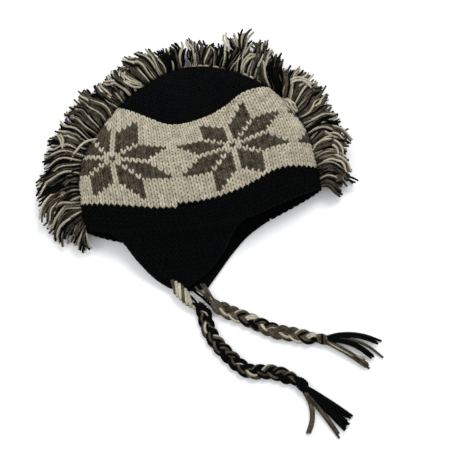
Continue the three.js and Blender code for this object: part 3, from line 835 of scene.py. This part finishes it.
def make_flap(name, node, outline, upper):
    """An ear flap: stitches on its outer side, purl ridges on its inner side and a beaded edge."""
    flap = Flap(outline, upper)
    across, down, size = [], [], []
    for r in range(FLAP_ROWS):
        share = (r + 0.5) / FLAP_ROWS
        width = flap.width(share)
        count = 2 * max(2, round(width / STITCH / 2))
        across.append((np.arange(count) + 0.5) / count)
        down.append(np.full(count, share))
        size.append(np.full(count, 1 / count))
    across, down, size = map(np.concatenate, (across, down, size))

    batches = [loops(flap.surface, across, down, size, -1 / FLAP_ROWS)]
    columns, rows = 60, 3 * FLAP_ROWS + 1
    a, d = np.meshgrid(np.linspace(0, 1, columns), np.linspace(0, 1, rows))
    ridge = 0.5 + 0.5 * np.cos(2 * np.pi * (d * FLAP_ROWS + 0.25 * np.cos(2 * np.pi * a * FLAP_RIDGES)))
    outer, _ = flap.surface(a, d, np.full(a.shape, BACK_DEPTH))
    inner, _ = flap.surface(a, d, PURL_DEPTH - PURL_RIDGE * ridge)
    if upper:
        outer, inner = outer[::-1], inner[::-1]
    batches += [grid_batch(outer), grid_batch(inner[:, ::-1])]
    batches.append(grid_batch(np.stack([outline_of(inner), outline_of(outer)]), True))

    # A row of yarn beads closes the two sides and the tip.
    beads = []
    for start, end in (((0, 0), (0, 1)), ((0, 1), (1, 1)), ((1, 1), (1, 0))):
        count = 16 if start[0] == end[0] else 4
        t = (np.arange(count)[:, None] + np.linspace(-0.1, 1.1, 5)) / count
        bead_across = start[0] + (end[0] - start[0]) * t
        bead_down = np.clip(start[1] + (end[1] - start[1]) * t, 0, 1)
        depth = np.array(FLAP_BEAD_DEPTHS) + 0 * t
        centres, normals = flap.surface(bead_across, bead_down, depth)
        radius = np.full(t.shape, YARN_RADIUS * 1.05)
        beads.append(sweep(centres, normals, np.stack([radius, radius], -1)))
    mesh_of(name, batches + beads, [black_wool], [node])


# ---------------------------------------------------------------- loose yarn


def strands(paths, colours, radius, tips=0.8, stations=14, sides=5, shade=1.0):
    """A batch of loose yarns through control points, drawn in a little at their ends."""
    share = np.linspace(0, 1, stations)
    centres = np.stack([catmull(path, share) for path in paths])
    ends = np.minimum(1, tips + (1 - tips) * 6 * np.minimum(share, 1 - share))
    thick = np.asarray(radius) * np.ones(len(paths))
    radii = np.repeat((thick[:, None] * ends)[..., None], 2, 2)
    along = unit(np.gradient(centres, axis=1))
    ups = np.where(np.abs(along[..., 2:]) > 0.9, np.array([1.0, 0.0, 0.0]), UP)
    batch = sweep(centres, ups, radii, sides)
    batch["look"] = [LOOK[colour] for colour in colours]
    # A shade below 1 is painted shade: it darkens the yarns' colour.
    batch["tint"] = shade * tints(len(paths))
    return batch


class FoldLine:
    """The line along both folds and over the crown's tip, where the fringe is sewn."""

    def __init__(self):
        rows = np.linspace(0, CROWN_TIP_ROW, FOLD_ROWS)
        self.rows = np.concatenate([rows, rows[-2::-1]])
        on_left = np.arange(len(self.rows)) < len(rows)
        self.points = wall(np.where(on_left, 0.0, 1.0), True, self.rows)
        steps = np.linalg.norm(np.diff(self.points, axis=0), axis=1)
        self.shares = np.concatenate([[0], np.cumsum(steps)]) / steps.sum()

    def at(self, share):
        """The place on the fold and the unit vectors along it and out from it, on plan."""
        place, ahead, behind = (
            np.array([np.interp(np.clip(s, 0, 1), self.shares, self.points[:, k]) for k in range(3)])
            for s in (share, share + 0.02, share - 0.02)
        )
        along = unit((ahead - behind) * (1, 1, 0))
        lean = LEFT_LEAN * max(0, 1 - share / LEAN_FADES_OVER)
        lean -= RIGHT_LEAN * max(0, 1 - (1 - share) / LEAN_FADES_OVER)
        out = np.array([-along[1], along[0], 0])
        return place, along, out * np.cos(lean) - along * np.sin(lean)

    def on_wall(self, share, inset, upper):
        """A place on a wall, inset from the fold by a share of the wall."""
        row = np.interp(share, self.shares, self.rows)
        tip = np.interp(CROWN_TIP_ROW, self.rows[:FOLD_ROWS], self.shares[:FOLD_ROWS])
        return wall(inset if share < tip else 1 - inset, upper, min(row, CROWN_TIP_ROW - 1.0))


def yarn_path(root, out, along, turned, length, tip_height, rise):
    """A yarn from its root to its tip. Its direction on plan is turned from out, by degrees given at
    even steps along it."""
    angle = np.radians(turned)[:, None]
    direction = np.cos(angle) * out + np.sin(angle) * along
    steps = (direction[1:] + direction[:-1]) / 2 * length / (len(turned) - 1)
    path = root + np.vstack([np.zeros(3), np.cumsum(steps, 0)])
    t = np.linspace(0, 1, len(turned))
    ease = t * t * (3 - 2 * t)
    path[:, 2] = root[2] + (tip_height - root[2]) * ease + rise * np.sin(np.pi * np.minimum(1, 1.1 * t))
    path[:, 2] = np.maximum(path[:, 2], LOOSE_RADIUS + 0.15)
    return path


def make_tuft(fold, index, look, lean, curl, length, fan):
    """One tuft in three layers. Neighbouring yarns wave and curl nearly together."""
    share = (index + 0.5) / len(TUFTS)
    place_inset = np.interp(share, np.linspace(0, 1, len(TUFT_INSETS)), TUFT_INSETS)
    _, _, out = fold.at(share)
    along = np.array([out[1], -out[0], 0])
    t = np.linspace(0, 1, 8)
    tuft_phase = RANDOM.uniform(0, 2 * np.pi)
    tuft_swing = RANDOM.uniform(10, 22)
    paths, colours, radii = [], [], []
    for layer, (inset, tip_height, count, rooted) in enumerate(TUFT_LAYERS):
        phase = tuft_phase + 0.7 * layer + RANDOM.normal(0, 0.7, TUFT_CLUSTERS)
        swing = tuft_swing * (1 + RANDOM.normal(0, 0.3, TUFT_CLUSTERS))
        own_curl = curl + RANDOM.normal(0, 15, TUFT_CLUSTERS)
        own_inset = RANDOM.uniform(0.3, 1.4, TUFT_CLUSTERS)
        own_length = 1 + RANDOM.normal(0, 0.06, TUFT_CLUSTERS)
        own_rise = RANDOM.normal(0, 2.0, TUFT_CLUSTERS)
        for k in range(count):
            side = 2 * (k + 0.5) / count - 1
            cluster = int((side + 1) / 2 * TUFT_CLUSTERS)
            colours.append(look[(k + 2 * layer) % len(look)])
            spot = np.clip(share + side * rooted / len(TUFTS), 0.004, 0.996)
            inward = INSET_SHARE * inset * place_inset * own_inset[cluster] + LEAST_INSET
            root = fold.on_wall(spot, inward, layer > 0)
            reach = length * own_length[cluster] * (1 - 0.1 * abs(side)) * (1 + RANDOM.normal(0, 0.03))
            wave = swing[cluster] * np.sin(2 * np.pi * 1.1 * t + phase[cluster])
            turned = lean + fan * side + own_curl[cluster] * t**1.4 + wave + RANDOM.normal(0, 3)
            rise = 3.0 + 3.5 * layer + own_rise[cluster]
            tip = tip_height + 0.8 * own_rise[cluster] + RANDOM.normal(0, 0.7)
            paths.append(yarn_path(root, out, along, turned, reach, tip, rise))
            radii.append(LOOSE_RADIUS * (1 + RANDOM.normal(0, 0.08)))
    name = f"fringe_tuft_{index + 1:02d}"
    yarns = strands(paths, colours, radii, shade=FRINGE_PAINTED_SHADE)
    mesh_of(f"{name}_yarn", [yarns], WOOLS, [name])


def make_locks(fold):
    """Locks of a few yarns side by side that lie on top of the tufts."""
    paths, colours = [], []
    t = np.linspace(0, 1, 9)
    for share, inset, look, lean, curl, swing, length, tip_height in LOCKS:
        _, _, out = fold.at(share)
        along = np.array([out[1], -out[0], 0])
        root = fold.on_wall(share, inset, True)
        turned = lean + curl * t**1.2 + swing * np.sin(2 * np.pi * t)
        middle = yarn_path(root, out, along, turned, length, tip_height, LOCK_RISE)
        sideways = unit(np.cross(np.gradient(middle, axis=0), UP))
        for k, colour in enumerate(look):
            path = middle + sideways * (k - (len(look) - 1) / 2) * LOCK_SPACING * LOOSE_RADIUS
            path[1:] += RANDOM.normal(0, 0.45, (len(path) - 1, 3))
            path[-1] += (path[-1] - path[-2]) * RANDOM.uniform(-0.5, 0.4)
            paths.append(path)
            colours.append(colour)
    mesh_of("fringe_locks", [strands(paths, colours, LOOSE_RADIUS)], WOOLS)


def make_running_stitches(fold):
    """The stitches that hold the fringe, on the upper wall just inside the fold."""
    paths, colours = [], []
    for index in RUNNING_STITCHES:
        if RANDOM.random() < HIDDEN_STITCHES:
            continue
        first = (index + RANDOM.uniform(0.0, 0.3)) / (2 * len(TUFTS))
        last = first + RANDOM.uniform(0.55, 0.8) / (2 * len(TUFTS))
        shares = np.linspace(first, last, len(RUNNING_RISES))
        line = np.array([fold.on_wall(s, RUNNING_INSET, True) for s in shares])
        line[:, 2] += np.array(RUNNING_RISES)
        paths.append(line)
        colours.append(RANDOM.choice(list("cccb")))
    stitches = strands(paths, colours, RUNNING_RADIUS, stations=8, shade=FRINGE_PAINTED_SHADE)
    mesh_of("fringe_running_stitch", [stitches], WOOLS)


def make_fringe():
    fold = FoldLine()
    for index, tuft in enumerate(TUFTS):
        make_tuft(fold, index, *tuft)
    make_locks(fold)
    make_running_stitches(fold)


# ---------------------------------------------------------------- braided ties


def route_of(points):
    """Places at even steps along a route, unit vectors across it, and the way come."""
    dense = catmull(points, np.linspace(0, 1, 400))
    way = np.concatenate([[0], np.cumsum(np.linalg.norm(np.diff(dense, axis=0), axis=1))])
    come = np.linspace(0, way[-1], int(way[-1] / ROUTE_STEP))
    places = np.stack([np.interp(come, way, dense[:, k]) for k in range(3)], -1)
    across = unit(np.cross(unit(np.gradient(places, axis=0)), UP))
    return places, across, come


def make_braid(name, node, plan, strands_of):
    """Three strands of yarns, braided flat along a route on the floor."""
    places, across, come = route_of([(x, y, BRAID_HEIGHT) for x, y in plan])
    narrow = np.clip(0.45 + 0.55 * np.minimum(come, come[-1] - come) / BRAID_ENDS, 0, 1)
    batches = []
    for k, yarns in enumerate(strands_of):
        angle = 2 * np.pi * (come / BRAID_PERIOD + k / len(strands_of))
        sway = BRAID_SWAY * narrow * np.sin(angle)
        middle = places + across * sway[:, None] + UP * (BRAID_WEAVE * np.sin(2 * angle))[:, None]
        along = unit(np.gradient(middle, axis=0))
        side = unit(np.cross(along, UP))
        rise = np.cross(side, along)
        for m, colour in enumerate(yarns):
            twist = 2 * np.pi * (come / STRAND_TWIST + (m + 0.5) / len(yarns)) + k
            offset = side * (BUNDLE_WIDE * narrow * np.cos(twist))[:, None]
            offset = offset + rise * (BUNDLE_THICK * np.sin(twist))[:, None]
            centres = (middle + offset)[None]
            centres[..., 2] = np.maximum(centres[..., 2], 1.5)
            radii = np.full((1, len(come), 2), BRAID_YARN)
            batch = sweep(centres, np.tile(UP, (1, len(come), 1)), radii)
            batch["look"] = LOOK[colour]
            batch["tint"] = tints(1)
            batches.append(batch)
    braid = mesh_of(name, batches, WOOLS, [node])
    path = [Vector(place * MM) for place in places[:: max(1, len(places) // 24)]]
    path.append(Vector(places[-1] * MM))


def coils(middle, axis, turns, length, wide, thick, tilt, colours, radius):
    """Turns of yarn wound one beside the other round an axis; each is a ring tilted along it."""
    axis = unit(np.array(axis, float))
    across = unit(np.cross(axis, UP))
    angle = np.linspace(0, 2 * np.pi, 19)
    paths = []
    for k in range(turns):
        share = (k + 0.5) / turns - 0.5
        swell = 1 - 0.35 * abs(2 * share) ** 2
        ring_middle = np.array(middle, float) + axis * length * share
        path = ring_middle + across * (wide / 2 - radius) * swell * np.cos(angle)[:, None]
        path = path + UP * ((thick / 2 - radius) * swell * np.sin(angle))[:, None]
        path = path + axis * (tilt * np.cos(angle) + 0.6 * length / turns * angle / np.pi)[:, None]
        path[:, 2] = np.maximum(path[:, 2], radius + 0.1)
        paths.append(path)
    return strands(paths, colours, radius, tips=0.95, stations=32, sides=7)


def make_tassel(name, node, bundles):
    """Cut yarns in bundles: colour, how many, how wide apart, start, end, and how far they bow out to
    the left on the way."""
    paths, colours = [], []
    t = np.linspace(0, 1, 5)[:, None]
    for colour, count, spread, start, end, bow in bundles:
        start, end = np.array([*start, TASSEL_START_HEIGHT]), np.array([*end, TASSEL_END_HEIGHT])
        left = unit(np.cross(UP, end - start))
        middle = start + (end - start) * t + left * bow * 4 * t * (1 - t)
        across = np.cross(unit(np.gradient(middle, axis=0)), UP)
        opening = 0.65 + 0.35 * t
        for k in range(count):
            place = 2 * (k + 0.5) / count - 1
            path = middle + across * spread / 2 * place * opening
            path[:, 2] += 1.4 * ((k % 2) * 2 - 1) + RANDOM.normal(0, 0.2)
            path[-1] += (path[-1] - path[-2]) * RANDOM.normal(0, 0.15)
            path[:, 2] = np.maximum(path[:, 2], 1.7)
            paths.append(path)
            colours.append(colour)
    yarns = strands(paths, colours, TASSEL_YARN, stations=16, sides=6)
    return mesh_of(name, [yarns], WOOLS, [node])


def make_ties():
    """The wraps at the flaps' tips, and the braids, knots and tassels."""
    for side, tie in TIES.items():
        wraps = [coils(*wrap) for wrap in tie["wraps"]]
        colours = [colour for colour, _ in tie["leads"]]
        leads = [path for _, path in tie["leads"]]
        wraps.append(strands(leads, colours, LEAD_RADIUS, stations=16, sides=6))
        mesh_of(f"tie_loops_{side}_yarn", wraps, WOOLS, [f"tie_loops_{side}"])
        turns = [coils(*tie["knot"])]
        knot = mesh_of(f"knot_{side}_yarn", turns, WOOLS, [f"knot_{side}"])
        tassel = make_tassel(f"tassel_{side}_yarn", f"tassel_{side}", tie["tassel"])
        make_braid(f"braid_{side}_yarn", f"braid_{side}", tie["route"], tie["strands"])


set_camera()
set_stage()
make_hat()
make_flap("ear_flap_upper_knit", "ear_flap_upper", UPPER_FLAP, True)
make_flap("ear_flap_under_knit", "ear_flap_under", UNDER_FLAP, False)
make_fringe()
make_ties()
